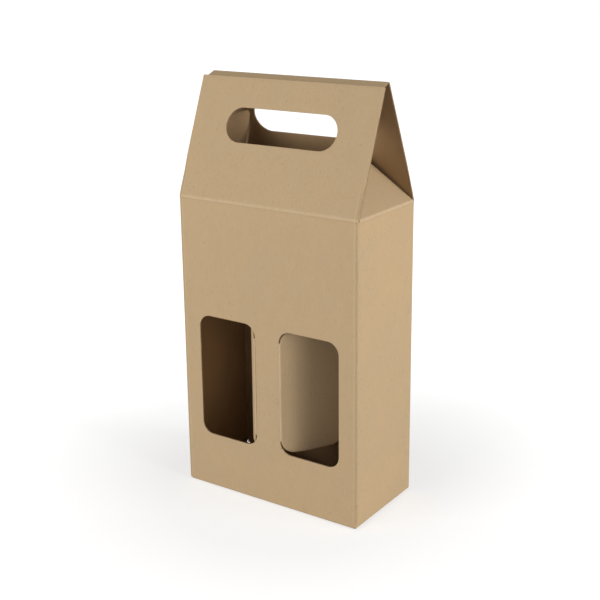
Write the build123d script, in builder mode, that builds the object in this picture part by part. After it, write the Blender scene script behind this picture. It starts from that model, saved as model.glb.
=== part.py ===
"""Two-bottle gable carrier, folded from one blank of brown fluted board.

Units are millimetres. The origin is at the middle of the base, on the surface the carrier stands on.
+X runs to the right of the windowed wall, -Y is the windowed wall, and +Z is up.

The sleeve, its closed bottom and its end gussets are one folded piece. The two handle panels are the
lid, hinged on the shoulder creases. The two window flaps are hinged on the inner edges of the windows.
"""
from build123d import *
from math import asin, cos, degrees, radians, sin, tan
import os

# --- Board -------------------------------------------------------------------------------------------
board = 1.5                     # thickness of the fluted board
half_board = board / 2
turning_gap = 0.3               # free gap wherever a flap turns past its neighbour
corner_radius = 2.0             # outside radius of the folded upright and bottom corners
inner_corner_radius = 0.5       # inside radius of the upright corners

# --- Sleeve and bottom -------------------------------------------------------------------------------
panel_width = 180.0             # outside width of the windowed wall
panel_depth = 90.0              # outside width of the end walls
shoulder_height = 265.0         # height of the crease lines that the handle panels turn on
bottom_seam = 0.6               # gap where the two long bottom flaps meet
end_flap_length = 42.0          # reach of the inner bottom flaps from the end walls
flap_side_gap = 0.8             # gap from an inner bottom flap to the long walls
glue_tab_width = 26.0           # tab that closes the sleeve, glued inside the back wall
glue_tab_taper = 12.0           # height over which the tab narrows at its two ends
glue_tab_margin = 3.0           # height left free above the bottom and below the shoulder

# --- Windows and their flaps -------------------------------------------------------------------------
window_width = 59.5
window_height = 111.0
window_radius = 11.0
window_sill = 50.5              # height of the lower edge of both windows
mullion_width = 24.5            # wall left between the two windows
flap_gap = 0.5                  # gap between a flap and its window when the flap is pushed flush
flap_root_angle = 46.0          # how far the root of a flap is folded in from the wall
flap_root_length = 12.0         # flat length from the hinge to the soft bend
flap_bend_angle = 16.0          # extra turn in the soft bend
flap_bend_radius = 57.0

# --- Gable -------------------------------------------------------------------------------------------
front_panel_length = 106.0      # shoulder crease to top edge, along the panel
back_panel_extra = 2.5          # how much longer the back panel is, so that the ridge slopes forward
ridge_width = 10.5              # level distance between the tops of the two panels
back_panel_taper = 3.0          # how much narrower each side of the back panel is at its top
ridge_crease_radius = 1.2       # middle radius of the folds at the ridge
tuck_lip_length = 14.0          # lip tucked down behind the front panel
grip_length = 110.0             # hand hole, end to end
grip_height = 30.0              # hand hole, across
grip_drop = 40.5                # top of a panel to the middle of its hand hole, along the panel

# --- Gussets -----------------------------------------------------------------------------------------
gusset_tab_length = 14.0        # tab crease to free edge, along the gusset
gusset_margin = 17.0            # length left free between the gusset tabs and the tuck lip
left_gusset_lean = 25.5         # lean of the left gusset from upright, towards the middle
left_tab_lean = 22.0            # its tab stands almost straight on from it
right_gusset_lean = 46.0        # the right gusset is pressed further in
right_tab_lean = 96.0           # its tab is folded level
gusset_play = 0.6               # gap between a gusset and the handle panels beside it

# --- Worked-out places -------------------------------------------------------------------------------
half_width = panel_width / 2
half_depth = panel_depth / 2
wall_top = shoulder_height - half_board - turning_gap
front_hinge_y = -half_depth + half_board
back_hinge_y = half_depth - half_board
back_panel_length = front_panel_length + back_panel_extra
gusset_length = front_panel_length - tuck_lip_length - gusset_margin - gusset_tab_length
panel_run = (panel_depth - board - ridge_width) / 2
front_lean = asin(panel_run / front_panel_length)
back_lean = asin(panel_run / back_panel_length)
window_middle = (mullion_width + window_width) / 2
window_centre_z = window_sill + window_height / 2
hinge_offset = half_board + turning_gap
flap_height = window_height - 2 * flap_gap
flap_length = window_width - hinge_offset - flap_gap
flap_bend_length = radians(flap_bend_angle) * flap_bend_radius
flap_tip_length = flap_length - flap_root_length - flap_bend_length
hinge_straight = window_height - 2 * window_radius


def panel_plane(hinge_y, lean, side):
    """Plane in the middle of a handle panel: X across the carrier, Y up the panel from its hinge."""
    up = Vector(0, -side * sin(lean), cos(lean))
    across = Vector(1, 0, 0)
    return Plane(origin=(0, hinge_y, shoulder_height), x_dir=across, z_dir=across.cross(up))


def gusset_direction(side, lean):
    """Direction up a gusset or its tab, leaning in from upright towards the middle."""
    return Vector(-side * sin(radians(lean)), 0, cos(radians(lean)))


def gusset_plane(crease, up):
    """Plane in the middle of a gusset or its tab: X across it to the back, Y up it from its crease."""
    across = Vector(0, 1, 0)
    return Plane(origin=crease, x_dir=across, z_dir=across.cross(up))


# Half width of a gusset at its crease, inside both handle panels.
gusset_base = half_depth - board / cos(max(front_lean, back_lean)) - gusset_play
# The panels close in on each other as they rise, fastest beside a gusset or tab that stands upright.
steepest_lean = min(left_gusset_lean, left_tab_lean, right_gusset_lean, right_tab_lean)
gable_closing = tan(max(front_lean, back_lean)) * cos(radians(steepest_lean))


def gusset_half_width(along):
    """Half width of a gusset, at a length measured up it from the shoulder crease."""
    return gusset_base - along * gable_closing



# --- Carrier body: sleeve, bottom flaps, glue tab and gussets, one folded piece -----------------------
with BuildPart() as carrier_body:
    # Sleeve and long bottom flaps, as a block with rounded folds.
    with BuildSketch():
        RectangleRounded(panel_width, panel_depth, corner_radius)
    extrude(amount=wall_top)
    fillet(carrier_body.faces().sort_by(Axis.Z)[0].edges(), corner_radius)
    # Inside of the sleeve.
    with BuildSketch(Plane.XY.offset(board)):
        RectangleRounded(panel_width - 2 * board, panel_depth - 2 * board, inner_corner_radius)
    extrude(amount=wall_top, mode=Mode.SUBTRACT)
    # Seam where the long bottom flaps meet under the middle.
    with BuildSketch():
        Rectangle(panel_width, bottom_seam)
    extrude(amount=board, mode=Mode.SUBTRACT)
    # Inner bottom flaps, turned in from the end walls and glued to the long ones.
    with BuildSketch(Plane.XY.offset(board)):
        with Locations(*[(side * (half_width - board - end_flap_length / 2), 0) for side in (-1, 1)]):
            Rectangle(end_flap_length, panel_depth - 2 * board - 2 * flap_side_gap)
    extrude(amount=board)
    # Glue tab, a second layer inside the back wall beside the left end wall.
    tab_low = 2 * board + glue_tab_margin
    tab_high = wall_top - glue_tab_margin
    tab_root = -half_width + board
    tab_tip = tab_root + glue_tab_width
    with BuildSketch(Plane.XZ.offset(-(half_depth - board))):
        with BuildLine():
            Polyline(
                (tab_root, tab_low),
                (tab_tip, tab_low + glue_tab_taper),
                (tab_tip, tab_high - glue_tab_taper),
                (tab_root, tab_high),
                close=True,
            )
        make_face()
    extrude(amount=board)
    # Windows in the front wall.
    with BuildSketch(Plane.XZ.offset(half_depth)):
        with Locations(*[(side * window_middle, window_centre_z) for side in (-1, 1)]):
            RectangleRounded(window_width, window_height, window_radius)
    extrude(amount=-board, mode=Mode.SUBTRACT)
    # Gussets: each end wall runs up to its crease and leans in under the handle panels. Its tab follows
    # from a second crease.
    for side, leans in ((-1, (left_gusset_lean, left_tab_lean)), (1, (right_gusset_lean, right_tab_lean))):
        with BuildSketch(Plane.XY.offset(wall_top)):
            with Locations((side * (half_width - half_board), 0)):
                Rectangle(board, 2 * gusset_base)
        extrude(amount=shoulder_height - wall_top)
        crease = Vector(side * (half_width - half_board), 0, shoulder_height)
        along = 0
        for lean, length in zip(leans, (gusset_length, gusset_tab_length)):
            low_half = gusset_half_width(along)
            high_half = gusset_half_width(along + length)
            with BuildSketch(Plane.XZ.offset(-low_half)):
                with Locations((crease.X, crease.Z)):
                    Circle(half_board)
            extrude(amount=2 * low_half)
            with BuildSketch(gusset_plane(crease, gusset_direction(side, lean))):
                with BuildLine():
                    Polyline(
                        (-low_half, 0),
                        (low_half, 0),
                        (high_half, length),
                        (-high_half, length),
                        close=True,
                    )
                make_face()
            extrude(amount=half_board, both=True)
            crease += gusset_direction(side, lean) * length
            along += length

# --- Front handle panel -------------------------------------------------------------------------------
front_plane = panel_plane(front_hinge_y, front_lean, -1)
with BuildPart() as front_handle_panel:
    with BuildSketch(front_plane):
        with Locations((0, front_panel_length / 2)):
            Rectangle(panel_width, front_panel_length)
        with Locations((0, front_panel_length - grip_drop)):
            SlotOverall(grip_length, grip_height, mode=Mode.SUBTRACT)
    extrude(amount=half_board, both=True)
    # Rounded root on the shoulder crease.
    with BuildSketch(Plane.YZ.offset(-half_width)):
        with Locations((front_hinge_y, shoulder_height)):
            Circle(half_board)
    extrude(amount=panel_width)

# --- Back handle panel with the ridge strip and its tuck lip -------------------------------------------
back_plane = panel_plane(back_hinge_y, back_lean, 1)
ridge_span = panel_width - 2 * back_panel_taper
# Side view of the ridge: the strip comes forward from the top crease, and the lip goes down behind the
# front panel, a turning gap away from it.
lip_offset = board + turning_gap
back_top = Vector(
    back_hinge_y - back_panel_length * sin(back_lean),
    shoulder_height + back_panel_length * cos(back_lean),
)
back_stub = Vector(
    back_hinge_y - (back_panel_length - 2 * ridge_crease_radius) * sin(back_lean),
    shoulder_height + (back_panel_length - 2 * ridge_crease_radius) * cos(back_lean),
)


def lip_point(along):
    """Point in side view on the middle of the tuck lip, measured along the front panel."""
    return Vector(
        front_hinge_y + along * sin(front_lean) + lip_offset * cos(front_lean),
        shoulder_height + along * cos(front_lean) - lip_offset * sin(front_lean),
    )


lip_top = lip_point(front_panel_length - turning_gap)
lip_foot = lip_point(front_panel_length - turning_gap - tuck_lip_length)
with BuildPart() as back_handle_panel:
    with BuildSketch(back_plane):
        with BuildLine():
            Polyline(
                (-half_width, 0),
                (half_width, 0),
                (ridge_span / 2, back_panel_length - ridge_crease_radius),
                (-ridge_span / 2, back_panel_length - ridge_crease_radius),
                close=True,
            )
        make_face()
        with Locations((0, back_panel_length - grip_drop)):
            SlotOverall(grip_length, grip_height, mode=Mode.SUBTRACT)
    extrude(amount=half_board, both=True)
    # Rounded root on the shoulder crease.
    with BuildSketch(Plane.YZ.offset(-half_width)):
        with Locations((back_hinge_y, shoulder_height)):
            Circle(half_board)
    extrude(amount=panel_width)
    # Ridge strip and tuck lip.
    with BuildSketch(Plane.YZ.offset(-ridge_span / 2)):
        with BuildLine():
            FilletPolyline(back_stub, back_top, lip_top, lip_foot, radius=ridge_crease_radius)
        trace(line_width=board)
    extrude(amount=ridge_span)

# --- Window flaps -------------------------------------------------------------------------------------
# Each is the cut-out of its window, folded in about the inner upright edge, with a soft bend.
right_hinge_x = mullion_width / 2 + hinge_offset
with BuildPart() as right_window_flap:
    with BuildSketch(Plane.XY.offset(window_centre_z - flap_height / 2)):
        with BuildLine():
            root = PolarLine((right_hinge_x, front_hinge_y), flap_root_length, flap_root_angle)
            bend = JernArc(root @ 1, root % 1, flap_bend_radius, flap_bend_angle)
            PolarLine(bend @ 1, flap_tip_length, flap_root_angle + flap_bend_angle)
        trace(line_width=board)
    extrude(amount=flap_height)
    # Corners follow the rounded corners of the window.
    end_faces = right_window_flap.faces().filter_by(GeomType.PLANE).sort_by(Axis.X)
    corner_edges = (end_faces[0].edges() + end_faces[-1].edges()).filter_by(GeomType.LINE)
    fillet(corner_edges.filter_by(Axis.Z, reverse=True), window_radius)
    # Rounded root on the hinge line, along the straight stretch of the window edge.
    with BuildSketch(Plane.XY.offset(window_centre_z - hinge_straight / 2)):
        with Locations((right_hinge_x, front_hinge_y)):
            Circle(half_board)
    extrude(amount=hinge_straight)

with BuildPart() as left_window_flap:
    add(right_window_flap.part)
    mirror(about=Plane.YZ, mode=Mode.REPLACE)

# --- Export -------------------------------------------------------------------------------------------
pieces = {
    "carrier_body": carrier_body,
    "front_handle_panel": front_handle_panel,
    "back_handle_panel": back_handle_panel,
    "left_window_flap": left_window_flap,
    "right_window_flap": right_window_flap,
}
os.makedirs("parts", exist_ok=True)
for name, piece in pieces.items():
    piece.part.label = name
    export_step(piece.part, f"parts/{name}.step")

print("front lean", round(degrees(front_lean), 2), "back lean", round(degrees(back_lean), 2))
print("overall height", round(max(piece.part.bounding_box().max.Z for piece in pieces.values()), 2))
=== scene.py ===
import math

import bmesh
import bpy
import numpy as np
from mathutils import Matrix, Vector, kdtree
from mathutils.geometry import delaunay_2d_cdt


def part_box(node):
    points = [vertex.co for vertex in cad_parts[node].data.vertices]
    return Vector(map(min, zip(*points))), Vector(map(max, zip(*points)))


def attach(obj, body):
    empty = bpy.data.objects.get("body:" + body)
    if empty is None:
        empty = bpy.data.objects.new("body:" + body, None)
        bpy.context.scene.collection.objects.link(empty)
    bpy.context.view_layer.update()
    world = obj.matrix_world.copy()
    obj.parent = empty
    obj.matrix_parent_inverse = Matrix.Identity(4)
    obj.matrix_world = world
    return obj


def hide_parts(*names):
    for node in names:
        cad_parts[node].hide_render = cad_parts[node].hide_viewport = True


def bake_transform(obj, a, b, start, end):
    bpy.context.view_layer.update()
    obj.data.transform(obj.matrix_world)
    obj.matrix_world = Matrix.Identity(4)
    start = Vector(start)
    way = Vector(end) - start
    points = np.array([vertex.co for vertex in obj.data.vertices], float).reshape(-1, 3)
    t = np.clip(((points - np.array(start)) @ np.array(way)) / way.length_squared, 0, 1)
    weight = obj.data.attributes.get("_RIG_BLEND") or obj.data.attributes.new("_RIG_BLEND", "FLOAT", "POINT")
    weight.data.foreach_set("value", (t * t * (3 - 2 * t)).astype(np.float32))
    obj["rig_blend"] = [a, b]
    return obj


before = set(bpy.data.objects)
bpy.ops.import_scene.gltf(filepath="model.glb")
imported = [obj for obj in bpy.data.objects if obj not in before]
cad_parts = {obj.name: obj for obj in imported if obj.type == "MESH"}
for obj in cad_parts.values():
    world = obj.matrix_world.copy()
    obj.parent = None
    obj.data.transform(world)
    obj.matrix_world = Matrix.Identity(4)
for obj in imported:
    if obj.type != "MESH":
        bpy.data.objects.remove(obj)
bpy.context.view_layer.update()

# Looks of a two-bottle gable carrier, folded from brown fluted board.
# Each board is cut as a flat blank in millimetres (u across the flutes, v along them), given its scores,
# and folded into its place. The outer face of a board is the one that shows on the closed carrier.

# --- Sizes of the board, in millimetres -----------------------------------------------------------
MM = 0.001
body_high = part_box("carrier_body")[1] / MM
half_width = body_high.x
half_depth = body_high.y
board = 1.5
half_board = board / 2
skin_depth = 0.18               # the outer face lies this far inside the raised scores
outer_face = half_board - skin_depth
inner_face = -half_board
liner = 0.26                    # thickness of each of the two flat papers
edge_crush = 0.13               # how much the knife presses each face down at a cut edge
edge_rim = 0.5                  # width of that pressed rim
edge_recess = 0.7               # depth at a cut edge over which the wavy paper can be seen between the liners
flute_pitch = 3.3
flute_paper = 0.17
grid_step = 3.6                 # spacing of the mesh lines on plain board
fold_radius = 1.25              # middle radius of the folded corners
wall_end = 263.0                # height where the walls end and the handle panels begin
shoulder = 265.0                # height of the shoulder creases
hinge_y = half_depth - half_board

# --- Sizes of the panels and flaps, in millimetres ------------------------------------------------
front_panel_length = 106.0
back_panel_length = 108.5
panel_run = 39.0                # how far each handle panel leans in
ridge_half_span = 87.0
tuck_lip_length = 14.0
grip_length = 110.0
grip_height = 30.0
grip_drop = 40.5
gusset_length = 61.0
gusset_tab_length = 14.0
gusset_root = 42.79             # half width of a gusset at its crease
gusset_taper = 0.3669           # how fast it narrows as it rises
left_leans = (25.5, 22.0)       # lean of the left gusset and of its tab, in degrees from upright
right_leans = (46.0, 96.0)
window_size = (59.5, 111.0)
window_radius = 11.0
window_centre = (42.0, 106.0)
flap_hinge_x = 13.3
flap_free_edge = 57.95
flap_half_height = 55.0
flap_root = 12.0
flap_angles = (46.0, 62.0)      # first and last direction of a window flap, from the wall
flap_bend_radius = 57.0
glue_tab_tip_x = -62.5          # free edge of the glue tab, along the back wall
glue_tab_foot = 6.0
glue_tab_head = 260.95
glue_tab_taper = 12.0           # height over which the tab narrows at its two ends
end_flap_tip_x = 46.5           # free edge of an inner bottom flap


# --- Flat shapes ----------------------------------------------------------------------------------
def arc_points(centre, radius, start, turn):
    """Points on an arc, with angles in degrees."""
    count = max(4, int(abs(turn) / 9))
    angles = np.radians(start + turn * np.linspace(0, 1, count + 1))
    return [(centre[0] + radius * math.cos(a), centre[1] + radius * math.sin(a)) for a in angles]


def rounded_rectangle(centre, size, radius):
    """Outline of a rectangle with round corners, turning left."""
    reach_u, reach_v = size[0] / 2 - radius, size[1] / 2 - radius
    points = []
    for start, side_u, side_v in ((-90, 1, -1), (0, 1, 1), (90, -1, 1), (180, -1, -1)):
        corner = (centre[0] + side_u * reach_u, centre[1] + side_v * reach_v)
        points += arc_points(corner, radius, start, 90)
    return points


def divided(points, lines_u, lines_v):
    """The outline with a point wherever it crosses a mesh line, and at least every step between."""
    result = []
    for (au, av), (bu, bv) in zip(points, points[1:] + points[:1]):
        length = math.hypot(bu - au, bv - av)
        if length < 1e-6:
            continue
        shares = set(np.linspace(0, 1, max(1, math.ceil(length / grid_step)) + 1)[:-1])
        if abs(bu - au) > 0.5 * length:
            shares.update((line - au) / (bu - au) for line in lines_u)
        if abs(bv - av) > 0.5 * length:
            shares.update((line - av) / (bv - av) for line in lines_v)
        kept = []
        for share in sorted(s for s in shares if 0 <= s < 1 - 0.05 / length):
            if not kept or (share - kept[-1]) * length > 0.05:
                kept.append(share)
        result += [(au + (bu - au) * s, av + (bv - av) * s) for s in kept]
    return np.array(result)


def inset(loop, distance):
    """The loop moved to its left by a distance."""
    ahead = np.roll(loop, -1, 0) - loop
    left = np.stack([-ahead[:, 1], ahead[:, 0]], 1) / np.linalg.norm(ahead, axis=1)[:, None]
    both = left + np.roll(left, 1, 0)
    both /= np.maximum((both**2).sum(1) / 2, 0.6)[:, None]
    return loop + both * distance


def inside(points, loop):
    """True for each point that lies inside the loop."""
    u, v = points[:, :1], points[:, 1:]
    au, av = loop.T
    bu, bv = np.roll(loop, -1, 0).T
    crossed = (av > v) != (bv > v)
    crossing_u = (bu - au) * (v - av) / np.where(bv == av, 1, bv - av) + au
    return (crossed & (u < crossing_u)).sum(1) % 2 == 1


def on_board(points, loops):
    """True for each point inside the outline and in none of the holes."""
    kept = inside(points, loops[0])
    for hole in loops[1:]:
        kept &= ~inside(points, hole)
    return kept


def mesh_lines(low, high, scores=()):
    """Even mesh lines from low to high, with close lines round each score (place, reach, step)."""
    count = math.ceil((high - low) / grid_step)
    lines = set(np.linspace(low, high, count + 1))
    for place, reach, step in scores:
        lines = {line for line in lines if abs(line - place) > reach}
        lines.update(place + step * n for n in range(-int(reach / step), int(reach / step) + 1))
    return sorted(lines)


def cut_blank(outline, holes, lines_u, lines_v):
    """Cuts a flat blank: its points, its triangles, and the next point round each cut edge."""
    loops = [divided(outline, lines_u, lines_v)]
    loops += [divided(hole[::-1], lines_u, lines_v) for hole in holes]
    rims = [inset(loop, edge_rim) for loop in loops]
    points, edges = [], []
    for loop in loops + rims:
        first = len(points)
        points += [tuple(p) for p in loop]
        edges += [(first + n, first + (n + 1) % len(loop)) for n in range(len(loop))]
    tree = kdtree.KDTree(len(points))
    for n, (u, v) in enumerate(points):
        tree.insert((u, v, 0), n)
    tree.balance()
    grid = np.array([(u, v) for u in lines_u for v in lines_v])
    grid = grid[on_board(grid, rims)]
    points += [(u, v) for u, v in grid if tree.find((u, v, 0))[2] > 0.3]
    flat, _, faces = delaunay_2d_cdt([Vector(p) for p in points], edges, [], 0, 1e-5)[:3]
    flat = np.array([tuple(p) for p in flat])
    faces = np.array([face for face in faces if len(face) == 3])
    faces = faces[on_board(flat[faces].mean(1), loops)]
    sides = {(a, b) for face in faces.tolist() for a, b in zip(face, face[1:] + face[:1])}
    onward = {a: b for a, b in sides if (b, a) not in sides}
    return flat, faces, onward


# --- Folding --------------------------------------------------------------------------------------
def folded_line(points, radii, zero):
    """A line with rounded folds: its lengths, places and headings. Zero is the length that counts as 0."""
    points = [np.array(p, float) for p in points]
    places, headings = [points[0]], []
    for n, radius in enumerate(radii, 1):
        before, after = points[n] - points[n - 1], points[n + 1] - points[n]
        start = math.atan2(before[1], before[0])
        turn = (math.atan2(after[1], after[0]) - start + math.pi) % (2 * math.pi) - math.pi
        tangent = radius * math.tan(abs(turn) / 2)
        side = math.copysign(1, turn)
        normal = side * np.array([-math.sin(start), math.cos(start)])
        centre = points[n] - before / np.linalg.norm(before) * tangent + normal * radius
        if not headings:
            headings.append(start)
        for share in np.linspace(0, 1, max(8, int(abs(math.degrees(turn)) / 2)) + 1):
            heading = start + share * turn
            out = -side * np.array([-math.sin(heading), math.cos(heading)])
            places.append(centre + out * radius)
            headings.append(heading)
    places.append(points[-1])
    headings.append(headings[-1])
    places = np.array(places)
    lengths = np.concatenate([[0], np.cumsum(np.linalg.norm(np.diff(places, axis=0), axis=1))])
    return lengths - zero, places, np.unwrap(headings)


def walk(line, along):
    """Place on a folded line and the direction to its right, which is the board's outer side."""
    lengths, places, headings = line
    heading = np.interp(along, lengths, headings)
    before = np.minimum(along - lengths[0], 0)
    past = np.maximum(along - lengths[-1], 0) + before
    first = np.interp(along, lengths, places[:, 0]) + past * np.cos(heading)
    second = np.interp(along, lengths, places[:, 1]) + past * np.sin(heading)
    return first, second, np.sin(heading), -np.cos(heading)


def length_at(line, index, value, low=-1e9):
    """The length along a folded line where one of its coordinates first reaches a value."""
    lengths, places, _ = line
    for n in range(len(lengths) - 1):
        a, b = places[n][index], places[n + 1][index]
        if min(a, b) <= value <= max(a, b) and a != b and lengths[n] >= low:
            return lengths[n] + (value - a) / (b - a) * (lengths[n + 1] - lengths[n])
    raise ValueError(f"the line never reaches {value}")


# --- Relief of the board: scores, pressed edges and slight bowing ---------------------------------
def bump(distance, reach):
    """A smooth hump, 1 at no distance and 0 past the reach."""
    t = np.clip(np.abs(distance) / reach, 0, 1)
    return (1 - t * t) ** 2


def ease(value, low, high):
    """Rises smoothly from 0 at low to 1 at high."""
    t = np.clip((value - low) / (high - low), 0, 1)
    return t * t * (3 - 2 * t)


def bow(u, v, phase):
    """Slight waviness of a board that has been stored flat, between -1 and 1."""
    slow = np.sin(u * 0.041 + phase) * np.cos(v * 0.029 + 2 * phase)
    quick = np.sin(u * 0.093 + v * 0.037 + 3 * phase)
    return 0.65 * slow + 0.35 * quick


# --- Making a board -------------------------------------------------------------------------------
def fluting_path(name, flat, onward, inward, fold):
    """A line down the middle of every cut edge, with what the fluting needs to know on its points."""
    names = sorted(onward)
    number = {p: n for n, p in enumerate(names)}
    u, v = flat[names].T
    middle = np.full(len(names), (outer_face + inner_face) / 2)
    step_u, step_v = inward[names].T
    place = fold(u + 0.1 * step_u, v + 0.1 * step_v, middle)
    deeper = fold(u + 1.1 * step_u, v + 1.1 * step_v, middle)
    higher = fold(u + 0.1 * step_u, v + 0.1 * step_v, middle + 1)
    mesh = bpy.data.meshes.new(name)
    mesh.from_pydata((place * MM).tolist(), [(number[a], number[b]) for a, b in onward.items()], [])
    for label, values in (("across", higher - place), ("deeper", deeper - place)):
        attribute = mesh.attributes.new(label, "FLOAT_VECTOR", "POINT")
        attribute.data.foreach_set("vector", values.astype(np.float32).ravel())
    attribute = mesh.attributes.new("flat_u", "FLOAT", "POINT")
    attribute.data.foreach_set("value", (u * MM).astype(np.float32))
    return mesh


def wavy_paper_tree():
    """Geometry Nodes: wavy paper seen between the liners, made along a path that follows a cut edge."""
    tree = bpy.data.node_groups.new("wavy_paper", "GeometryNodeTree")
    face = tree.interface
    face.new_socket("Path", in_out="INPUT", socket_type="NodeSocketGeometry")
    for label in ("Pitch", "Wave Height", "Depth", "Paper", "Step"):
        face.new_socket(label, in_out="INPUT", socket_type="NodeSocketFloat")
    face.new_socket("Material", in_out="INPUT", socket_type="NodeSocketMaterial")
    face.new_socket("Paper Mesh", in_out="OUTPUT", socket_type="NodeSocketGeometry")
    new, link = tree.nodes.new, tree.links.new
    given, result = new("NodeGroupInput"), new("NodeGroupOutput")

    def named(label, kind):
        node = new("GeometryNodeInputNamedAttribute")
        node.data_type = kind
        node.inputs["Name"].default_value = label
        return node.outputs["Attribute"]

    def math_node(operation, *values):
        node = new("ShaderNodeMath")
        node.operation = operation
        for socket, value in zip(node.inputs, values):
            if isinstance(value, (int, float)):
                socket.default_value = value
            else:
                link(value, socket)
        return node.outputs[0]

    def scaled(vector, scale):
        node = new("ShaderNodeVectorMath")
        node.operation = "SCALE"
        link(vector, node.inputs[0])
        link(scale, node.inputs["Scale"])
        return node.outputs[0]

    line = new("GeometryNodeMeshToCurve")
    link(given.outputs["Path"], line.inputs["Mesh"])
    fine = new("GeometryNodeResampleCurve")
    fine.mode = "LENGTH"
    link(line.outputs["Curve"], fine.inputs["Curve"])
    link(given.outputs["Step"], fine.inputs["Length"])
    turns = math_node("DIVIDE", named("flat_u", "FLOAT"), given.outputs["Pitch"])
    wave = math_node("SINE", math_node("MULTIPLY", turns, 2 * math.pi))
    lift = math_node("MULTIPLY", wave, given.outputs["Wave Height"])
    waved = new("GeometryNodeSetPosition")
    link(fine.outputs["Curve"], waved.inputs["Geometry"])
    link(scaled(named("across", "FLOAT_VECTOR"), lift), waved.inputs["Offset"])
    thread = new("GeometryNodeCurveToMesh")
    link(waved.outputs["Geometry"], thread.inputs["Curve"])
    sheet = new("GeometryNodeExtrudeMesh")
    sheet.mode = "EDGES"
    link(thread.outputs["Mesh"], sheet.inputs["Mesh"])
    link(scaled(named("deeper", "FLOAT_VECTOR"), given.outputs["Depth"]), sheet.inputs["Offset"])
    sheet.inputs["Offset Scale"].default_value = 1.0
    thick = new("GeometryNodeExtrudeMesh")
    thick.mode = "FACES"
    thick.inputs["Individual"].default_value = False
    thick.inputs["Offset Scale"].default_value = 1.0
    link(sheet.outputs["Mesh"], thick.inputs["Mesh"])
    link(scaled(named("across", "FLOAT_VECTOR"), given.outputs["Paper"]), thick.inputs["Offset"])
    under = new("GeometryNodeFlipFaces")
    link(sheet.outputs["Mesh"], under.inputs["Mesh"])
    joined = new("GeometryNodeJoinGeometry")
    link(thick.outputs["Mesh"], joined.inputs["Geometry"])
    link(under.outputs["Mesh"], joined.inputs["Geometry"])
    closed = new("GeometryNodeMergeByDistance")
    closed.inputs["Distance"].default_value = 1e-6
    link(joined.outputs["Geometry"], closed.inputs["Geometry"])
    real = new("GeometryNodeRealizeInstances")
    link(closed.outputs["Geometry"], real.inputs["Geometry"])
    coated = new("GeometryNodeSetMaterial")
    link(real.outputs["Geometry"], coated.inputs["Geometry"])
    link(given.outputs["Material"], coated.inputs["Material"])
    link(coated.outputs["Geometry"], result.inputs["Paper Mesh"])
    return tree


def wavy_paper(path, tree, material):
    """Runs the tree on a path and returns its result as a plain mesh."""
    carrier = bpy.data.objects.new("fluting_path", path)
    bpy.context.scene.collection.objects.link(carrier)
    modifier = carrier.modifiers.new("fluting", "NODES")
    modifier.node_group = tree
    room = outer_face - inner_face - 2 * (edge_crush + liner) - flute_paper
    sizes = {
        "Pitch": flute_pitch * MM,
        "Wave Height": room / 2 * MM,
        "Depth": (edge_recess - 0.15) * MM,
        "Paper": flute_paper * MM,
        "Step": flute_pitch / 8 * MM,
        "Material": material,
    }
    for item in tree.interface.items_tree:
        if item.in_out == "INPUT" and item.name in sizes:
            modifier[item.identifier] = sizes[item.name]
    graph = bpy.context.evaluated_depsgraph_get()
    made = bpy.data.meshes.new_from_object(carrier.evaluated_get(graph))
    bpy.data.objects.remove(carrier)
    return made


def make_board(name, blank, fold, relief, looks):
    """Folds a blank into a board with two faces, layered cut edges and the wavy paper between them."""
    flat, faces, onward = blank
    count = len(flat)
    u, v = flat.T
    inward = np.zeros((count, 2))
    for a, b in onward.items():
        ahead = flat[b] - flat[a]
        left = np.array([-ahead[1], ahead[0]]) / np.linalg.norm(ahead)
        inward[a] += left
        inward[b] += left
    lengths = np.linalg.norm(inward, axis=1)
    inward[lengths > 0] /= lengths[lengths > 0, None]
    edge = np.array(sorted(onward))
    pressed = np.zeros(count)
    pressed[edge] = edge_crush
    raised, sunk, score_light_weight = relief(u, v)
    top = fold(u, v, outer_face + raised - pressed)
    bottom = fold(u, v, inner_face + sunk + pressed)
    rows = [top, bottom]
    uv = [flat, flat]
    # weights of painted highlight and painted shade at the scores, weaker on the inner face
    crease = [score_light_weight, score_light_weight * 0.4]
    eu, ev = flat[edge].T
    du, dv = (inward[edge] * edge_recess).T
    outer_row = outer_face + raised[edge] - edge_crush - liner
    inner_row = inner_face + sunk[edge] + edge_crush + liner
    for offset, deep in ((outer_row, 0), (outer_row, 1), (inner_row, 1), (inner_row, 0)):
        rows.append(fold(eu + deep * du, ev + deep * dv, offset))
        uv.append(flat[edge])
        crease.append(np.zeros(len(edge)))
    number = {p: n for n, p in enumerate(edge.tolist())}
    polygons = faces.tolist() + (faces[:, ::-1] + count).tolist()
    kinds = [0] * len(faces) + [3] * len(faces)
    for a, b in onward.items():
        chain_a = [a] + [2 * count + row * len(edge) + number[a] for row in range(4)] + [a + count]
        chain_b = [b] + [2 * count + row * len(edge) + number[b] for row in range(4)] + [b + count]
        for n in range(5):
            polygons.append([chain_a[n], chain_a[n + 1], chain_b[n + 1], chain_b[n]])
            kinds.append(1)
    mesh = bpy.data.meshes.new(name)
    mesh.from_pydata((np.concatenate(rows) * MM).tolist(), [], polygons)
    for material in looks:
        mesh.materials.append(material)
    mesh.polygons.foreach_set("material_index", kinds)
    attribute = mesh.attributes.new("crease", "FLOAT", "POINT")
    attribute.data.foreach_set("value", np.concatenate(crease).astype(np.float32))
    corners = np.empty(len(mesh.loops), np.int32)
    mesh.loops.foreach_get("vertex_index", corners)
    layer = mesh.uv_layers.new(name="flat")
    layer.data.foreach_set("uv", (np.concatenate(uv)[corners] * MM).astype(np.float32).ravel())
    paper = wavy_paper(fluting_path(name + "_path", flat, onward, inward, fold), paper_tree, looks[2])
    return finish_board(name, mesh, paper)


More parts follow.
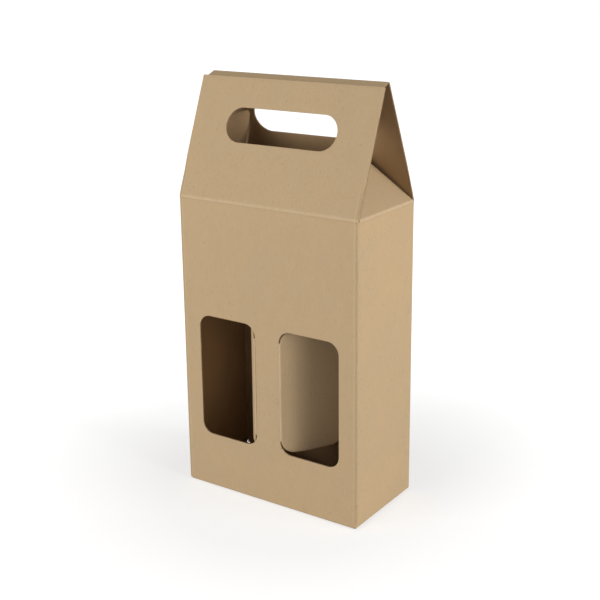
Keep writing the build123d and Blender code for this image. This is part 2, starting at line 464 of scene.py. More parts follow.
def finish_board(name, mesh, paper):
    """Joins the wavy paper to its board, turns every face outwards and shades it smooth between edges."""
    both = bmesh.new()
    both.from_mesh(paper)
    for face in both.faces:
        face.material_index = 2
    both.from_mesh(mesh)
    bmesh.ops.recalc_face_normals(both, faces=both.faces)
    for face in both.faces:
        face.smooth = True
    both.to_mesh(mesh)
    both.free()
    for attribute in [a.name for a in mesh.attributes if a.name in ("across", "deeper", "flat_u")]:
        mesh.attributes.remove(mesh.attributes[attribute])
    mesh.set_sharp_from_angle(angle=math.radians(50))
    piece = bpy.data.objects.new(name, mesh)
    bpy.context.scene.collection.objects.link(piece)
    return piece


# --- Carrier body: the sleeve, its bottom flaps, its glue tab and its end gussets -----------------
arc = fold_radius * math.pi / 2
glue_tab_y = hinge_y - board - 0.03
side_x = half_width - half_board
plan = folded_line(
    [(glue_tab_tip_x, glue_tab_y), (-side_x, glue_tab_y), (-side_x, -hinge_y), (side_x, -hinge_y),
     (side_x, hinge_y), (-half_width + 0.3, hinge_y)],
    [fold_radius] * 4,
    0,
)
front_middle = length_at(plan, 0, 0, 100)
plan = (plan[0] - front_middle, plan[1], plan[2])
front_reach = side_x - fold_radius
right_start = front_reach + arc
right_middle = length_at(plan, 1, 0, front_reach)
back_start = right_middle + right_middle - right_start + arc
back_end = plan[0][-1]
left_end = -right_start
left_middle = length_at(plan, 1, 0, -250)
left_start = length_at(plan, 1, glue_tab_y - fold_radius - 0.001, -250)
tab_root = left_start - arc
tab_tip = plan[0][0]

# Side views of the walls, as distance outwards and height. Each starts at the free edge of its bottom flap.
long_flap_reach = hinge_y - 0.3
end_flap_reach = side_x - end_flap_tip_x
long_wall = folded_line(
    [(-long_flap_reach, half_board), (0, half_board), (0, 300)], [fold_radius], 0)
long_wall = (long_wall[0] - length_at(long_wall, 1, 100) + 100, long_wall[1], long_wall[2])


def end_wall(leans):
    """Side view of an end wall, from its inner bottom flap to the tab of its gusset."""
    gusset, tab = [np.array([-math.sin(math.radians(a)), math.cos(math.radians(a))]) for a in leans]
    crease = np.array([0, shoulder])
    second = crease + gusset * gusset_length
    line = folded_line(
        [(-end_flap_reach, board + half_board), (0, board + half_board), crease, second,
         second + tab * gusset_tab_length],
        [fold_radius, 1.6, 2.0],
        0,
    )
    return line[0] - length_at(line, 1, 100) + 100, line[1], line[2]


right_wall = end_wall(right_leans)
left_wall = end_wall(left_leans)


def fold_body(u, v, offset):
    """Folds the body's blank: round the sleeve, then down to its bottom flaps or up to its gussets."""
    px, py, nx, ny = walk(plan, u)
    views = [walk(line, v) for line in (long_wall, left_wall, right_wall)]
    is_right = ease(u, front_reach + 0.3 * arc, right_start - 0.3 * arc)
    is_right -= ease(u, back_start - 0.7 * arc, back_start - 0.3 * arc)
    is_left = ease(-u, front_reach + 0.3 * arc, right_start - 0.3 * arc)
    is_left -= ease(-u, -left_start + 0.3 * arc, -tab_root - 0.3 * arc)
    is_long = 1 - is_right - is_left
    out, z, n_out, n_z = [
        is_long * long_ + is_left * left_ + is_right * right_ for long_, left_, right_ in zip(*views)
    ]
    size = np.hypot(n_out, n_z)
    across = out + offset * n_out / size
    return np.stack([px + nx * across, py + ny * across, z + offset * n_z / size], 1)


def body_outline():
    """Outline of the body's blank, from the foot of the glue tab, along the bottom and back along the top."""
    low_fold, high = 1.2, wall_end
    end_free = 1.54 - end_flap_reach + fold_radius
    long_free = 0.04 - long_flap_reach + fold_radius
    points = [(tab_tip, glue_tab_foot + glue_tab_taper), (tab_root, glue_tab_foot), (left_start, 4.2)]

    def bottom_flap(start, end, free, radius):
        return [
            (start, 2.2),
            (start + 0.4, 0.6),
            *arc_points((start + 0.4 + radius, free + radius), radius, 180, 90),
            *arc_points((end - 0.4 - radius, free + radius), radius, 270, 90),
            (end - 0.4, 0.6),
            (end, 2.2),
        ]

    points += bottom_flap(left_start + 0.4, left_end - 0.5, end_free, 3)
    points += [(left_end + 0.5 * arc, low_fold)]
    points += bottom_flap(-front_reach + 0.2, front_reach - 0.2, long_free, 1)
    points += [(front_reach + 0.5 * arc, low_fold)]
    points += bottom_flap(right_start + 0.5, back_start - arc - 0.5, end_free, 3)
    points += [(back_start - 0.5 * arc, low_fold)]
    points += bottom_flap(back_start + 0.2, back_end - 2.0, long_free, 1)
    points += [(back_end, 1.4), (back_end, high)]

    def gusset(middle, right_reach, left_reach):
        """Right edge, top and left edge of a gusset. Reaches are its half widths at the crease."""
        total = gusset_length + gusset_tab_length
        top = gusset_root - gusset_taper * total
        radius = 3
        return [
            (middle + right_reach, high + 1.0),
            (middle + right_reach, shoulder),
            (middle + top + gusset_taper * radius, shoulder + total - radius),
            (middle + top - radius + 0.8, shoulder + total),
            (middle - top + radius - 0.8, shoulder + total),
            (middle - top - gusset_taper * radius, shoulder + total - radius),
            (middle - left_reach, shoulder),
            (middle - left_reach, high + 1.0),
        ]

    points += [(back_start - 0.35 * arc, high), (back_start - 0.55 * arc, high + 1.0)]
    points += gusset(right_middle, gusset_root, gusset_root)
    points += [(front_reach + 0.55 * arc, high + 1.0), (front_reach + 0.35 * arc, high)]
    points += [(-front_reach - 0.35 * arc, high), (-front_reach - 0.55 * arc, high + 1.0)]
    # The left gusset's rear edge, on its left in the blank, stops short of the fold of the glue tab.
    points += gusset(left_middle, gusset_root, min(gusset_root, left_middle - left_start - 0.3))
    points += [(left_start - 0.3 * arc, high), (tab_root, glue_tab_head)]
    points += [(tab_tip, glue_tab_head - glue_tab_taper)]
    return points


def body_relief(u, v):
    """Scores at the upright corners and at the shoulder of the end walls, and slight bowing, with a weight
    for painted highlight and painted shade at the scores.
    """
    raised = np.zeros_like(u)
    score_light_weight = np.zeros_like(u)
    upright = ease(v, 3, 6) * (1 - ease(v, shoulder - 1, shoulder))
    for place, side in ((front_reach, 1), (-front_reach, -1), (back_start, -1)):
        beside = (u - place) * side
        groove = bump(beside - 0.2, 1.3)
        bead = bump(beside + 1.7, 1.1)
        raised += upright * (skin_depth * 0.8 * bead - 0.28 * groove)
        # painted highlight on the bead beside each upright corner and painted shade in its groove
        score_light_weight += upright * (0.5 * bead - 1.0 * groove)
    ends = np.maximum(bump(u - right_middle, 80) > 0, bump(u - left_middle, 80) > 0)
    on_end = (np.minimum(np.abs(u - right_middle), np.abs(u - left_middle)) < gusset_root + 0.3) * ends
    raised += on_end * (skin_depth * bump(v - shoulder, 1.5) - 0.1 * bump(v - shoulder + 2.4, 1.2))
    # painted highlight along the shoulder score and painted shade just under it
    score_light_weight += on_end * (1.0 * bump(v - shoulder, 1.9) - 0.3 * bump(v - shoulder + 2.6, 1.3))
    still = np.ones_like(u)
    for place in (left_start, left_end, -front_reach, front_reach, right_start, back_start, back_end):
        still *= ease(np.abs(u - place), 3, 26)
    still *= ease(v, 6, 40) * ease(np.abs(v - shoulder), 2, 26)
    bowed = (bow(u, v, 0.6) - 1) * 0.22 * still
    return raised + bowed, 0.4 * np.minimum(raised, 0) + bowed, score_light_weight


def make_body(looks):
    """The folded body with its windows."""
    corners = [front_reach, -front_reach, right_start, left_end, back_start, back_start - arc]
    corners += [left_start, tab_root]
    scores_u = [(place, 3.2, 0.4) for place in corners]
    lines_u = mesh_lines(tab_tip, back_end, scores_u)
    scores_v = [(shoulder - 0.6, 3.6, 0.45), (1.2, 2.8, 0.4), (shoulder + gusset_length, 2.4, 0.6)]
    lines_v = mesh_lines(-45, shoulder + gusset_length + gusset_tab_length, scores_v)
    windows = [
        rounded_rectangle((side * window_centre[0], window_centre[1]), window_size, window_radius)
        for side in (-1, 1)
    ]
    blank = cut_blank(body_outline(), windows, lines_u, lines_v)
    piece = make_board("folded_body", blank, fold_body, body_relief, looks)
    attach(piece, "carrier_body")
    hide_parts("carrier_body")
    return piece


# --- Handle panels --------------------------------------------------------------------------------
front_lean = math.asin(panel_run / front_panel_length)
back_lean = math.asin(panel_run / back_panel_length)
front_side = folded_line(
    [(0, wall_end), (0, shoulder),
     (-panel_run, shoulder + front_panel_length * math.cos(front_lean))],
    [2.0],
    shoulder - wall_end,
)
lip_offset = board + 0.3


def lip_place(along):
    """Place on the tuck lip in the back panel's side view, by its length up the front panel."""
    y = -hinge_y + along * math.sin(front_lean) + lip_offset * math.cos(front_lean)
    z = shoulder + along * math.cos(front_lean) - lip_offset * math.sin(front_lean)
    return y - hinge_y, z


lip_length = front_panel_length - 0.3
back_side = folded_line(
    [(0, wall_end), (0, shoulder),
     (-panel_run, shoulder + back_panel_length * math.cos(back_lean)),
     lip_place(lip_length), lip_place(lip_length - tuck_lip_length)],
    [2.0, 1.2, 1.2],
    shoulder - wall_end,
)
back_end_length = back_side[0][-1]
lip_crease = back_end_length - tuck_lip_length


def fold_front_panel(u, v, offset):
    """Folds the front handle panel's blank at the shoulder."""
    out, z, n_out, n_z = walk(front_side, v)
    return np.stack([u, -hinge_y - out - offset * n_out, z + offset * n_z], 1)


def fold_back_panel(u, v, offset):
    """Folds the back handle panel's blank at the shoulder and over the ridge."""
    out, z, n_out, n_z = walk(back_side, v)
    return np.stack([-u, hinge_y + out + offset * n_out, z + offset * n_z], 1)


def shoulder_score(v):
    """Raised score along a shoulder crease, with a faint hollow under it."""
    return skin_depth * bump(v - 0.1, 1.5) - 0.1 * bump(v + 2.0, 1.0)


def panel_margin(u, v):
    """The ends of a handle panel near the shoulder still follow the sleeve's corner score."""
    low = 1 - ease(v, 12, 38)
    beside = np.abs(u) - front_reach
    around = 2.0 - np.sqrt(np.maximum(4.0 - np.clip(beside, 0, 1.9) ** 2, 0.3))
    groove = bump(beside - 0.1, 1.1)
    bead = bump(beside + 1.6, 1.0)
    raised = low * (0.06 * bead - 0.22 * groove - 0.8 * around)
    # last value: painted highlight on the bead and painted shade in the groove
    return raised, -0.8 * low * around, low * (0.4 * bead - 0.9 * groove)


def front_panel_relief(u, v):
    """Shoulder score, end margins and slight bowing of the front handle panel."""
    margin, inner, score_light_weight = panel_margin(u, v)
    still = ease(v, 4, 30) * ease(half_width - np.abs(u), 0, 20)
    bowed = bow(u, v, 1.9) * 0.25 * still
    # painted highlight on the shoulder score and painted shade just under it
    crease = 1.0 * bump(v - 0.2, 2.0) - 0.3 * bump(v + 2.2, 1.2)
    return shoulder_score(v) + margin + bowed, inner + bowed, score_light_weight + crease


def back_panel_relief(u, v):
    """Shoulder score, ridge scores, end margins and slight bowing of the back handle panel."""
    margin, inner, score_light_weight = panel_margin(u, v)
    still = ease(v, 4, 30) * ease(half_width - np.abs(u), 0, 20)
    still *= 1 - ease(v, back_panel_length - 16, back_panel_length - 4)
    bowed = bow(u, v, 3.1) * 0.22 * still
    crease = 1.0 * bump(v - 0.2, 2.0) - 0.3 * bump(v + 2.2, 1.2)
    # painted highlight on the two ridge scores
    for place in (back_panel_length - 0.6, lip_crease - 0.2):
        crease = crease + 0.7 * bump(v - place, 1.6)
    ridge = 0.08 * (bump(v - back_panel_length + 0.6, 1.4) + bump(v - lip_crease + 0.2, 1.4))
    return shoulder_score(v) + ridge + margin + bowed, inner + bowed, score_light_weight + crease


def grip_hole(length):
    """Hand hole of a handle panel of that length."""
    size = (grip_length, grip_height)
    return rounded_rectangle((0, length - grip_drop), size, grip_height / 2 - 0.01)


def panel_lines(top, scores_v):
    """Mesh lines of a handle panel."""
    scores_u = [(side * front_reach, 3.2, 0.4) for side in (-1, 1)]
    lines_u = mesh_lines(-half_width, half_width, scores_u)
    return lines_u, mesh_lines(wall_end - shoulder, top, scores_v)


def make_front_panel(looks):
    """Front handle panel, bending with the sleeve at the shoulder crease."""
    top = front_side[0][-1]
    lines_u, lines_v = panel_lines(top, [(0.0, 2.8, 0.4)])
    foot = wall_end - shoulder
    outline = [
        (-half_width + 0.4, foot), (half_width - 0.4, foot), (half_width - 0.3, 1.5), (half_width - 0.05, 8),
        *arc_points((half_width - 1.05, top - 1), 1, 0, 90),
        *arc_points((-half_width + 1.05, top - 1), 1, 90, 90),
        (-half_width + 0.05, 8), (-half_width + 0.3, 1.5),
    ]
    blank = cut_blank(outline, [grip_hole(front_panel_length)], lines_u, lines_v)
    piece = make_board("front_handle_board", blank, fold_front_panel, front_panel_relief, looks)
    hinge = (0, -hinge_y * MM)
    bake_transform(piece, "carrier_body", "front_handle_panel",
             start=(*hinge, 0.2632), end=(*hinge, 0.2668))
    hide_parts("front_handle_panel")
    return piece


def make_back_panel(looks):
    """Back handle panel with the ridge strip and the tuck lip."""
    scores_v = [(0.0, 2.8, 0.4), (back_panel_length - 0.5, 2.4, 0.4), (lip_crease - 0.3, 2.4, 0.4)]
    lines_u, lines_v = panel_lines(back_end_length, scores_v)
    foot = wall_end - shoulder
    outline = [
        (-half_width + 0.4, foot), (half_width - 0.4, foot), (half_width - 0.3, 1.5), (half_width - 0.1, 8),
        (ridge_half_span + 0.1, back_panel_length - 1.5), (ridge_half_span, back_panel_length + 0.5),
        (ridge_half_span, lip_crease - 0.5), (ridge_half_span - 1.2, lip_crease + 2),
        *arc_points((ridge_half_span - 6, back_end_length - 4), 4, 0, 90),
        *arc_points((-ridge_half_span + 6, back_end_length - 4), 4, 90, 90),
        (-ridge_half_span + 1.2, lip_crease + 2), (-ridge_half_span, lip_crease - 0.5),
        (-ridge_half_span, back_panel_length + 0.5), (-ridge_half_span - 0.1, back_panel_length - 1.5),
        (-half_width + 0.1, 8), (-half_width + 0.3, 1.5),
    ]
    blank = cut_blank(outline, [grip_hole(back_panel_length)], lines_u, lines_v)
    piece = make_board("back_handle_board", blank, fold_back_panel, back_panel_relief, looks)
    hinge = (0, hinge_y * MM)
    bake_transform(piece, "carrier_body", "back_handle_panel",
             start=(*hinge, 0.2632), end=(*hinge, 0.2668))
    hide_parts("back_handle_panel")
    return piece


# --- Window flaps ---------------------------------------------------------------------------------
flap_foot = flap_hinge_x - (window_centre[0] - window_size[0] / 2) - 0.02
flap_directions = [np.array([math.cos(math.radians(a)), math.sin(math.radians(a))]) for a in flap_angles]
soft_tangent = flap_bend_radius * math.tan(math.radians(flap_angles[1] - flap_angles[0]) / 2)
flap_corner = np.array([flap_hinge_x, -hinge_y]) + flap_directions[0] * (flap_root + soft_tangent)
flap_plan = folded_line(
    [(flap_hinge_x - flap_foot, -hinge_y), (flap_hinge_x, -hinge_y), flap_corner,
     flap_corner + flap_directions[1] * 60],
    [1.0, flap_bend_radius],
    flap_foot,
)


def flap_relief(u, v):
    """Score at the root of a flap and slight bowing of the rest."""
    score = skin_depth * 0.6 * bump(u, 1.5) - 0.06 * bump(u - 2.4, 1.3)
    bowed = 0.3 * bow(u, v, 4.2) * ease(u, 6, 26)
    # last value: painted highlight along the root score
    return score + bowed, bowed, 0.9 * bump(u, 1.8)


def make_flap(side, looks):
    """Window flap on one side, folded in about the inner edge of its window."""
    name = "right" if side > 0 else "left"

    def fold_flap(u, v, offset):
        x, y, nx, ny = walk(flap_plan, u)
        return np.stack([side * (x + offset * nx), y + offset * ny, v], 1)

    low, high = window_centre[1] - flap_half_height, window_centre[1] + flap_half_height
    r = window_radius
    hinge_low, hinge_high = low + r - 0.4, high - r + 0.4
    outline = [
        (-flap_foot, hinge_high), (-flap_foot, hinge_low), (0.0, hinge_low),
        *arc_points((r + 0.1, low + r), r, 180, 90),
        *arc_points((flap_free_edge - r, low + r), r, 270, 90),
        *arc_points((flap_free_edge - r, high - r), r, 0, 90),
        *arc_points((r + 0.1, high - r), r, 90, 90),
        (0.0, hinge_high),
    ]
    lines_u = mesh_lines(-flap_foot, flap_free_edge, [(0.2, 2.4, 0.4)])
    lines_v = mesh_lines(low, high)
    blank = cut_blank(outline, [], lines_u, lines_v)
    piece = make_board(f"{name}_flap_board", blank, fold_flap, flap_relief, looks)
    height = window_centre[1] * MM
    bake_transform(piece, "carrier_body", f"{name}_window_flap",
             start=(side * 0.0124, -hinge_y * MM, height), end=(side * 0.0146, -hinge_y * MM, height))
    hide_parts(f"{name}_window_flap")
    return piece


# --- Shader node groups ---------------------------------------------------------------------------
def node_group(name, inputs, outputs):
    """An empty shader node group with named sockets: (label, kind, value) in and (label, kind) out."""
    group = bpy.data.node_groups.new(name, "ShaderNodeTree")
    for label, kind, value in inputs:
        socket = group.interface.new_socket(label, in_out="INPUT", socket_type=kind)
        if value is not None:
            socket.default_value = value
    for label, kind in outputs:
        group.interface.new_socket(label, in_out="OUTPUT", socket_type=kind)
    return group, group.nodes.new("NodeGroupInput"), group.nodes.new("NodeGroupOutput")


def noise_node(tree, coordinates, scale, detail, roughness=0.55):
    """A noise texture on given coordinates. Scale may be a number or a socket."""
    node = tree.nodes.new("ShaderNodeTexNoise")
    tree.links.new(coordinates, node.inputs["Vector"])
    if isinstance(scale, (int, float)):
        node.inputs["Scale"].default_value = scale
    else:
        tree.links.new(scale, node.inputs["Scale"])
    node.inputs["Detail"].default_value = detail
    node.inputs["Roughness"].default_value = roughness
    return node.outputs["Fac"]


def math_in(tree, operation, *values, clamp=False):
    """A math node in a shader tree, fed by numbers or sockets."""
    node = tree.nodes.new("ShaderNodeMath")
    node.operation = operation
    node.use_clamp = clamp
    for socket, value in zip(node.inputs, values):
        if isinstance(value, (int, float)):
            socket.default_value = value
        else:
            tree.links.new(value, socket)
    return node.outputs[0]


def mapped(tree, value, low, high, to_low=0.0, to_high=1.0):
    """Takes the range low to high to another range, and stops at its ends."""
    node = tree.nodes.new("ShaderNodeMapRange")
    node.inputs["From Min"].default_value = low
    node.inputs["From Max"].default_value = high
    node.inputs["To Min"].default_value = to_low
    node.inputs["To Max"].default_value = to_high
    tree.links.new(value, node.inputs["Value"])
    return node.outputs["Result"]


def mixed(tree, factor, first, second, blend="MIX"):
    """Mixes two colours, each a socket or a tuple, by a factor that is a socket or a number."""
    node = tree.nodes.new("ShaderNodeMix")
    node.data_type = "RGBA"
    node.blend_type = blend
    factor_in, first_in, second_in = node.inputs[0], node.inputs[6], node.inputs[7]
    for socket, value in ((factor_in, factor), (first_in, first), (second_in, second)):
        if isinstance(value, (int, float)):
            socket.default_value = value
        elif isinstance(value, tuple):
            socket.default_value = (*value, 1.0)
        else:
            tree.links.new(value, socket)
    return node.outputs[2]


def paper_fibre_group():
    """Pulp of brown paper: soft clouds, short fibres and dark flecks of bark."""
    group, given, result = node_group(
        "paper_fibre",
        [
            ("Coordinates", "NodeSocketVector", None),
            ("Cloud Scale", "NodeSocketFloat", 55.0),
            ("Fibre Scale", "NodeSocketFloat", 620.0),
            ("Fleck Scale", "NodeSocketFloat", 900.0),
        ],
        [(label, "NodeSocketFloat") for label in ("Cloud", "Fibre", "Fleck", "Height")],
    )
    where = given.outputs["Coordinates"]
    cloud = noise_node(group, where, given.outputs["Cloud Scale"], 5.0, 0.62)
    stretch = group.nodes.new("ShaderNodeMapping")
    stretch.inputs["Scale"].default_value = (1.0, 1.0, 0.35)
    group.links.new(where, stretch.inputs["Vector"])
    fibre = noise_node(group, stretch.outputs["Vector"], given.outputs["Fibre Scale"], 3.0, 0.7)
    fleck = noise_node(group, stretch.outputs["Vector"], given.outputs["Fleck Scale"], 1.0)
    group.links.new(mapped(group, cloud, 0.3, 0.7), result.inputs["Cloud"])
    group.links.new(mapped(group, fibre, 0.3, 0.7), result.inputs["Fibre"])
    group.links.new(mapped(group, fleck, 0.66, 0.74), result.inputs["Fleck"])
    height = math_in(group, "ADD", math_in(group, "MULTIPLY", cloud, 0.5), fibre)
    group.links.new(height, result.inputs["Height"])
    return group


def flute_lines_group():
    """Faint lines where the liner sinks between the waves of the fluting, across the flat u direction."""
    group, given, result = node_group(
        "flute_lines",
        [("Flat", "NodeSocketVector", None), ("Pitch", "NodeSocketFloat", 0.0033),
         ("Wander", "NodeSocketFloat", 0.0006)],
        [("Lines", "NodeSocketFloat")],
    )
    parts = group.nodes.new("ShaderNodeSeparateXYZ")
    group.links.new(given.outputs["Flat"], parts.inputs[0])
    drift = noise_node(group, given.outputs["Flat"], 25.0, 2.0)
    shifted = math_in(group, "MULTIPLY_ADD", drift, given.outputs["Wander"], parts.outputs["X"])
    turns = math_in(group, "DIVIDE", shifted, given.outputs["Pitch"])
    wave = math_in(group, "SINE", math_in(group, "MULTIPLY", turns, 2 * math.pi))
    strength = mapped(group, noise_node(group, given.outputs["Flat"], 18.0, 3.0), 0.35, 0.65, 0.2, 1.0)
    lines = math_in(group, "MULTIPLY_ADD", math_in(group, "MULTIPLY", wave, strength), 0.5, 0.5)
    group.links.new(lines, result.inputs["Lines"])
    return group


def painted_score_light_group():
    """Where a score was pressed: painted highlight on the raised paper and painted shade in its hollows."""
    group, given, result = node_group(
        "painted_score_light",
        [("Coordinates", "NodeSocketVector", None), ("Breakup", "NodeSocketFloat", 0.5)],
        [("Pale", "NodeSocketFloat"), ("Dark", "NodeSocketFloat")],
    )
    score = group.nodes.new("ShaderNodeAttribute")
    score.attribute_name = "crease"
    patchy = noise_node(group, given.outputs["Coordinates"], 260.0, 3.0)
    share = math_in(group, "MULTIPLY", mapped(group, patchy, 0.35, 0.65), given.outputs["Breakup"])
    kept = math_in(group, "SUBTRACT", 1.0, share)
    for label, sign in (("Pale", 1.0), ("Dark", -1.0)):
        signed = math_in(group, "MULTIPLY", score.outputs["Fac"], sign, clamp=True)
        group.links.new(math_in(group, "MULTIPLY", signed, kept), result.inputs[label])
    return group


def placed(tree, group, **values):
    """Places a node group in a material, with its own values by socket label."""
    node = tree.nodes.new("ShaderNodeGroup")
    node.node_tree = group
    for label, value in values.items():
        socket = node.inputs[label.replace("_", " ")]
        if isinstance(value, (int, float)):
            socket.default_value = value
        else:
            tree.links.new(value, socket)
    return node


# --- Materials ------------------------------------------------------------------------------------
def new_material(name, roughness, specular):
    """A material with its Principled shader, and its Object coordinates."""
    material = bpy.data.materials.new(name)
    material.use_nodes = True
    tree = material.node_tree
    shader = tree.nodes["Principled BSDF"]
    shader.inputs["Roughness"].default_value = roughness
    shader.inputs["Specular IOR Level"].default_value = specular
    coordinates = tree.nodes.new("ShaderNodeTexCoord").outputs["Object"]
    return material, tree, shader, coordinates


def add_bump(tree, shader, height, distance, strength):
    """Feeds a height to the shader's normal."""
    node = tree.nodes.new("ShaderNodeBump")
    node.inputs["Distance"].default_value = distance
    node.inputs["Strength"].default_value = strength
    tree.links.new(height, node.inputs["Height"])
    tree.links.new(node.outputs["Normal"], shader.inputs["Normal"])


outer_tones = ((0.585, 0.432, 0.260), (0.630, 0.452, 0.262), (0.685, 0.478, 0.262), (0.500, 0.350, 0.200))
# inner face tones: a darker liner, deepened further as painted shade for the carrier's dim inside
inner_tones_with_painted_shade = ((0.400, 0.262, 0.140), (0.430, 0.280, 0.148), (0.460, 0.290, 0.145), (0.330, 0.210, 0.105))
kraft_fleck = (0.330, 0.215, 0.110)
# painted highlight for raised scores and painted shade for their hollows
painted_score_highlight = (0.760, 0.580, 0.370)
painted_score_shade = (0.330, 0.220, 0.110)


def kraft_face(name, tones, fibre_group, line_group, score_light_nodes):
    """One face of the board: unbleached brown liner in its grey, plain, warm and fibre tones."""
    grey, plain, warm_tone, dark = tones
    material, tree, shader, where = new_material(name, 0.82, 0.22)
    flat = tree.nodes.new("ShaderNodeUVMap")
    flat.uv_map = "flat"
    scales = {"Cloud_Scale": 48.0, "Fibre_Scale": 560.0, "Fleck_Scale": 850.0}
    fibre = placed(tree, fibre_group, Coordinates=where, **scales)
    scales = {"Cloud_Scale": 13.0, "Fibre_Scale": 210.0, "Fleck_Scale": 300.0}
    broad = placed(tree, fibre_group, Coordinates=where, **scales)
    lines = placed(tree, line_group, Flat=flat.outputs["UV"], Pitch=flute_pitch * MM, Wander=0.0005)
    score_light = placed(tree, score_light_nodes, Coordinates=where, Breakup=0.4)
    colour = mixed(tree, fibre.outputs["Cloud"], grey, plain)
    warm = math_in(tree, "MULTIPLY", broad.outputs["Cloud"], 0.45)
    colour = mixed(tree, warm, colour, warm_tone)
    short = math_in(tree, "MULTIPLY", fibre.outputs["Fibre"], 0.20)
    colour = mixed(tree, short, colour, dark)
    long = math_in(tree, "MULTIPLY", broad.outputs["Fibre"], 0.14)
    colour = mixed(tree, long, colour, dark)
    # painted shade along the sunk troughs between flutes, besides their bump
    lined = math_in(tree, "MULTIPLY", lines.outputs["Lines"], 0.05)
    colour = mixed(tree, lined, colour, dark)
    flecks = math_in(tree, "MULTIPLY", fibre.outputs["Fleck"], 0.35)
    colour = mixed(tree, flecks, colour, kraft_fleck)
    # painted highlight on raised scores, then painted shade in score hollows
    colour = mixed(tree, math_in(tree, "MULTIPLY", score_light.outputs["Pale"], 0.55), colour, painted_score_highlight)
    colour = mixed(tree, math_in(tree, "MULTIPLY", score_light.outputs["Dark"], 0.35), colour, painted_score_shade)
    tree.links.new(colour, shader.inputs["Base Color"])
    gloss = mapped(tree, fibre.outputs["Cloud"], 0, 1, 0.76, 0.88)
    tree.links.new(gloss, shader.inputs["Roughness"])
    height = math_in(tree, "MULTIPLY_ADD", lines.outputs["Lines"], -0.35, fibre.outputs["Height"])
    add_bump(tree, shader, height, 0.00006, 0.6)
    return material


def cut_edge(fibre_group):
    """Cut edge of the two liners: paler, with loose fibres."""
    material, tree, shader, where = new_material("board_cut_edge", 0.9, 0.15)
    scales = {"Cloud_Scale": 180.0, "Fibre_Scale": 1500.0, "Fleck_Scale": 1300.0}
    fibre = placed(tree, fibre_group, Coordinates=where, **scales)
    colour = mixed(tree, fibre.outputs["Cloud"], (0.52, 0.37, 0.21), (0.66, 0.49, 0.30))
    fuzz = math_in(tree, "MULTIPLY", fibre.outputs["Fibre"], 0.25)
    colour = mixed(tree, fuzz, colour, (0.40, 0.27, 0.15))
    tree.links.new(colour, shader.inputs["Base Color"])
    add_bump(tree, shader, fibre.outputs["Height"], 0.0001, 0.8)
    return material


def fluting(fibre_group):
    """Wavy paper between the liners: a darker recycled brown."""
    material, tree, shader, where = new_material("wavy_paper", 0.9, 0.15)
    scales = {"Cloud_Scale": 150.0, "Fibre_Scale": 1300.0, "Fleck_Scale": 1200.0}
    fibre = placed(tree, fibre_group, Coordinates=where, **scales)
    colour = mixed(tree, fibre.outputs["Cloud"], (0.40, 0.27, 0.145), (0.53, 0.37, 0.21))
    flecks = math_in(tree, "MULTIPLY", fibre.outputs["Fleck"], 0.5)
    colour = mixed(tree, flecks, colour, kraft_fleck)
    tree.links.new(colour, shader.inputs["Base Color"])
    add_bump(tree, shader, fibre.outputs["Height"], 0.0001, 0.7)
    return material


# --- Studio ---------------------------------------------------------------------------------------
def seen_directly(tree):
    """1 for rays that find a plain white studio: from the camera, in gloss or through glass."""
    path = tree.nodes.new("ShaderNodeLightPath").outputs
    seen = math_in(tree, "MAXIMUM", path["Is Camera Ray"], path["Is Glossy Ray"])
    return math_in(tree, "MAXIMUM", seen, path["Is Transmission Ray"])


def make_world(light_level):
    """White all round: its full white is seen, and less of it lights the carrier."""
    world = bpy.data.worlds.new("white_studio")
    bpy.context.scene.world = world
    world.use_nodes = True
    tree = world.node_tree
    background = tree.nodes["Background"]
    background.inputs["Color"].default_value = (1, 1, 1, 1)
    level = math_in(tree, "MULTIPLY_ADD", seen_directly(tree), 1.0 - light_level, light_level)
    tree.links.new(level, background.inputs["Strength"])


def make_floor():
    """White floor that keeps a soft shadow."""
    mesh = bpy.data.meshes.new("studio_floor")
    reach, height = 6.0, -0.0001
    signs = ((-1, -1), (1, -1), (1, 1), (-1, 1))
    corners = [(reach * x, reach * y, height) for x, y in signs]
    mesh.from_pydata(corners, [], [(0, 1, 2, 3)])
    floor = bpy.data.objects.new("studio_floor", mesh)
    bpy.context.scene.collection.objects.link(floor)
    material = bpy.data.materials.new("studio_floor")
    material.use_nodes = True
    tree = material.node_tree
    tree.nodes.clear()
    out = tree.nodes.new("ShaderNodeOutputMaterial")
    matt = tree.nodes.new("ShaderNodeBsdfDiffuse")
    matt.inputs["Color"].default_value = (0.55, 0.55, 0.55, 1)
    glow = tree.nodes.new("ShaderNodeEmission")
    where = tree.nodes.new("ShaderNodeTexCoord").outputs["Object"]
    away = tree.nodes.new("ShaderNodeVectorMath")
    away.operation = "LENGTH"
    tree.links.new(where, away.inputs[0])
    strength = mapped(tree, away.outputs["Value"], 0.12, 0.45, 0.62, 1.0)
    tree.links.new(math_in(tree, "MULTIPLY", seen_directly(tree), strength), glow.inputs["Strength"])
    both = tree.nodes.new("ShaderNodeAddShader")
    tree.links.new(matt.outputs[0], both.inputs[0])
    tree.links.new(glow.outputs[0], both.inputs[1])
    tree.links.new(both.outputs[0], out.inputs["Surface"])
    mesh.materials.append(material)


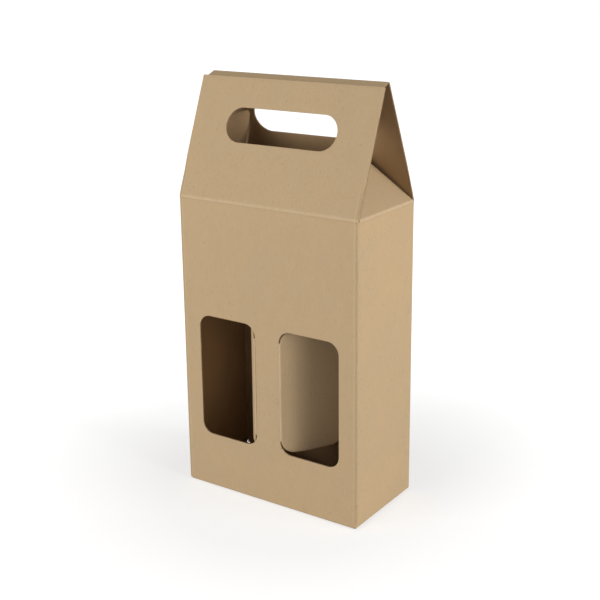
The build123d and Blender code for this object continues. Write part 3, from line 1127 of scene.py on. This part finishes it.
def soft_lamp(name, place, aim, size, watts):
    """A square soft box."""
    data = bpy.data.lights.new(name, "AREA")
    data.size = size
    data.energy = watts
    lamp = bpy.data.objects.new(name, data)
    lamp.location = place
    lamp.rotation_euler = (Vector(aim) - Vector(place)).to_track_quat("-Z", "Y").to_euler()
    bpy.context.scene.collection.objects.link(lamp)


def make_camera(azimuth, elevation, distance, aim, roll, lens, shift_up):
    """Camera turned round the carrier by azimuth and elevation, in degrees, with a slight roll."""
    a, e, r = (math.radians(x) for x in (azimuth, elevation, roll))
    back = Vector((math.sin(a) * math.cos(e), -math.cos(a) * math.cos(e), math.sin(e)))
    right = (-back).cross(Vector((0, 0, 1))).normalized()
    up = right.cross(-back)
    turned_right = right * math.cos(r) + up * math.sin(r)
    turned_up = up * math.cos(r) - right * math.sin(r)
    data = bpy.data.cameras.new("camera")
    data.lens = lens
    data.shift_y = shift_up
    camera = bpy.data.objects.new("camera", data)
    turn = Matrix((turned_right, turned_up, back)).transposed().to_4x4()
    camera.matrix_world = Matrix.Translation(Vector(aim) + back * distance) @ turn
    bpy.context.scene.collection.objects.link(camera)
    bpy.context.scene.camera = camera


# --- Putting it together --------------------------------------------------------------------------
bpy.context.scene.view_settings.view_transform = "Standard"
make_camera(
    azimuth=34.47, elevation=16.08, distance=0.9801, aim=(0.00417, 0, 0.20209),
    roll=-0.60, lens=68.67, shift_up=-0.05,
)
make_world(light_level=0.22)
make_floor()
lamp_aim = (0, 0, 0.2)
soft_lamp("right_lamp", place=(1.9, 0.1, 0.55), aim=lamp_aim, size=1.2, watts=26)
soft_lamp("front_lamp", place=(-0.7, -1.9, 0.45), aim=lamp_aim, size=1.4, watts=30)

fibre_group = paper_fibre_group()
line_group = flute_lines_group()
score_light_nodes = painted_score_light_group()
paper_tree = wavy_paper_tree()
board_looks = [
    kraft_face("kraft_outer_face", outer_tones, fibre_group, line_group, score_light_nodes),
    cut_edge(fibre_group),
    fluting(fibre_group),
    kraft_face("kraft_inner_face", inner_tones_with_painted_shade, fibre_group, line_group, score_light_nodes),
]
make_body(board_looks)
make_front_panel(board_looks)
make_back_panel(board_looks)
make_flap(-1, board_looks)
make_flap(1, board_looks)
